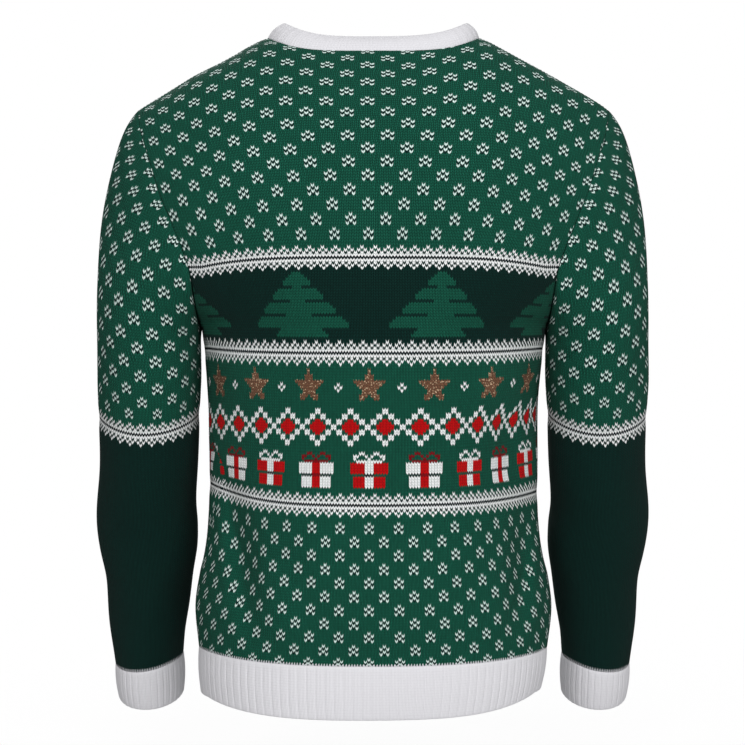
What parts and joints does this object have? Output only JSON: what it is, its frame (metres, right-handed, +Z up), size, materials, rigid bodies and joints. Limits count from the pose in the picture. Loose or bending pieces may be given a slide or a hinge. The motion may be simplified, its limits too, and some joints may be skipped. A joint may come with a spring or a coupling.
{
  "type": "knitted christmas jumper, worn shape without a wearer",
  "caption": "Long-sleeved crew-neck knitted jumper in its worn, hollow shape: green patterned body with bands, set-in sleeves, off-white ribbed neckband, hem and cuffs",
  "frame": {"origin": "middle of the neck, level with the points where the shoulder seams meet the neckband; the wearer's neck and shoulders hold the jumper up here", "axes": "+Z up, -Y the way the front faces, +X towards the wearer's left arm"},
  "size_m": [0.5817, 0.2941, 0.7233],
  "materials": {
    "green_jacquard_knit": "soft matt plain knit in mid green, dark green, white and red yarn, with a little copper lurex",
    "white_rib_knit": "soft matt off-white ribbed knit"
  },
  "bodies": {
    "root": {"back_panel": "green_jacquard_knit", "front_panel": "green_jacquard_knit", "sleeve_left": "green_jacquard_knit", "sleeve_right": "green_jacquard_knit", "hem_rib_back": "white_rib_knit", "hem_rib_front": "white_rib_knit", "cuff_left": "white_rib_knit", "cuff_right": "white_rib_knit", "neckband": "white_rib_knit"}
  },
  "joints": []
}
